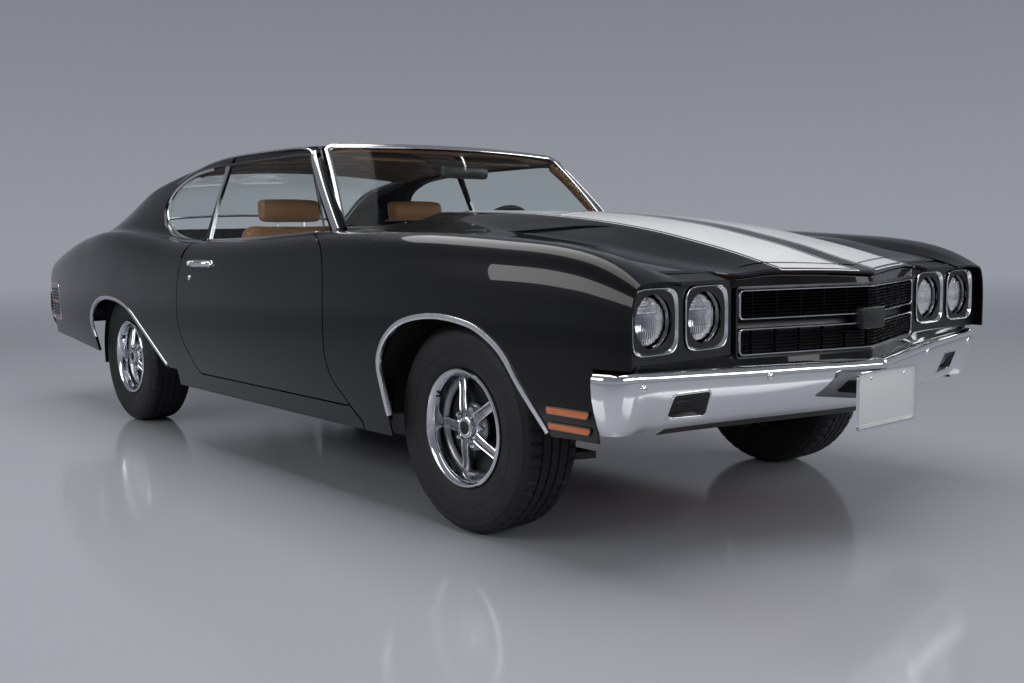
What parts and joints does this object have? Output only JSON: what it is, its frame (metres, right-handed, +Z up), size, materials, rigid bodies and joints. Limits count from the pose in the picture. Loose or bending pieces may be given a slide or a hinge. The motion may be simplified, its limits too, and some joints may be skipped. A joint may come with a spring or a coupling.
{
  "type": "two-door hardtop muscle car",
  "caption": "Two-door hardtop muscle car with raised-dome hood, chrome bumpers, opening doors, hood and trunk, steering and turning wheels.",
  "frame": {"origin": "on the ground under the middle of the car's box", "axes": "+Z up, the nose faces -Y, +X is the car's left"},
  "size_m": [1.9142, 5.009, 1.336],
  "materials": {
    "body_paint": "gloss black enamel",
    "bright_trim": "polished chrome plate",
    "clear_glass": "clear",
    "tan_hide": "saddle tan, satin",
    "tyre_rubber": "matt black",
    "wheel_metal": "satin silver with bright ring",
    "frame_black": "satin black",
    "cast_parts": "dull",
    "engine_paint": "orange enamel",
    "exhaust_steel": "dull",
    "black_plastic": "matt black",
    "tan_plastic": "tan, satin"
  },
  "bodies": {
    "root": {"chassis_frame": "frame_black", "floor_pan": "frame_black", "cowl_panel": "body_paint", "wheelhouses": "frame_black", "roof_panel": "body_paint", "quarter_panel_left": "body_paint", "quarter_panel_right": "body_paint", "front_fender_left": "body_paint", "front_fender_right": "body_paint", "rocker_panels": "body_paint", "nose_panel": "body_paint", "grille": "black_plastic", "headlamps": "bright_trim", "front_bumper": "bright_trim", "rear_bumper": "bright_trim", "rear_body_panels": "body_paint", "windshield": "clear_glass", "rear_window": "clear_glass", "quarter_glasses": "clear_glass", "front_seats": "tan_hide", "rear_seat": "tan_hide", "dashboard": "tan_plastic", "steering_column": "black_plastic", "engine": "engine_paint", "rear_axle": "cast_parts", "front_suspension": "cast_parts", "exhaust": "exhaust_steel", "fuel_tank": "exhaust_steel"},
    "steering_wheel": {"steering_wheel": "black_plastic"},
    "knuckle_left": {"knuckle_left": "cast_parts"},
    "knuckle_right": {"knuckle_right": "cast_parts"},
    "door_left": {"door_left": "body_paint", "door_glass_left": "clear_glass"},
    "door_right": {"door_right": "body_paint", "door_glass_right": "clear_glass"},
    "hood": {"hood": "body_paint"},
    "trunk_lid": {"trunk_lid": "body_paint"},
    "road_wheel_front_left": {"tyre_front_left": "tyre_rubber", "wheel_front_left": "wheel_metal"},
    "road_wheel_front_right": {"tyre_front_right": "tyre_rubber", "wheel_front_right": "wheel_metal"},
    "road_wheel_rear_left": {"tyre_rear_left": "tyre_rubber", "wheel_rear_left": "wheel_metal"},
    "road_wheel_rear_right": {"tyre_rear_right": "tyre_rubber", "wheel_rear_right": "wheel_metal"}
  },
  "joints": [
    {"name": "steer_left", "type": "hinge", "parent": "root", "child": "knuckle_left", "pos_m": [0.69, -1.5695, 0.333], "axis": [0, 0, 1], "range_deg": [-33, 33]},
    {"name": "spin_front_left", "type": "hinge", "parent": "knuckle_left", "child": "road_wheel_front_left", "pos_m": [0.762, -1.5695, 0.333], "axis": [1, 0, 0], "continuous": true},
    {"name": "spin_rear_left", "type": "hinge", "parent": "root", "child": "road_wheel_rear_left", "pos_m": [0.7595, 1.2755, 0.333], "axis": [1, 0, 0], "continuous": true},
    {"name": "left_door_hinge", "type": "hinge", "parent": "root", "child": "door_left", "pos_m": [0.922, -0.8515, 0.61], "axis": [0, 0, -1], "range_deg": [0, 65]},
    {"name": "steer_right", "type": "hinge", "parent": "root", "child": "knuckle_right", "pos_m": [-0.69, -1.5695, 0.333], "axis": [0, 0, 1], "range_deg": [-33, 33]},
    {"name": "spin_front_right", "type": "hinge", "parent": "knuckle_right", "child": "road_wheel_front_right", "pos_m": [-0.762, -1.5695, 0.333], "axis": [1, 0, 0], "continuous": true},
    {"name": "spin_rear_right", "type": "hinge", "parent": "root", "child": "road_wheel_rear_right", "pos_m": [-0.7595, 1.2755, 0.333], "axis": [1, 0, 0], "continuous": true},
    {"name": "right_door_hinge", "type": "hinge", "parent": "root", "child": "door_right", "pos_m": [-0.922, -0.8515, 0.61], "axis": [0, 0, 1], "range_deg": [0, 65]},
    {"name": "steering_wheel_turn", "type": "hinge", "parent": "root", "child": "steering_wheel", "pos_m": [0.372, -0.2795, 0.89], "axis": [0, 0.9135, 0.4067], "range_deg": [-495, 495]},
    {"name": "hood_hinge", "type": "hinge", "parent": "root", "child": "hood", "pos_m": [0, -0.6895, 0.925], "axis": [-1, 0, 0], "range_deg": [0, 46]},
    {"name": "trunk_hinge", "type": "hinge", "parent": "root", "child": "trunk_lid", "pos_m": [0, 1.6205, 0.962], "axis": [1, 0, 0], "range_deg": [0, 65]}
  ],
  "couplings": [
    {"joint": "steer_right", "follows": "steer_left", "ratio": 1},
    {"joint": "steering_wheel_turn", "follows": "steer_left", "ratio": 15}
  ]
}
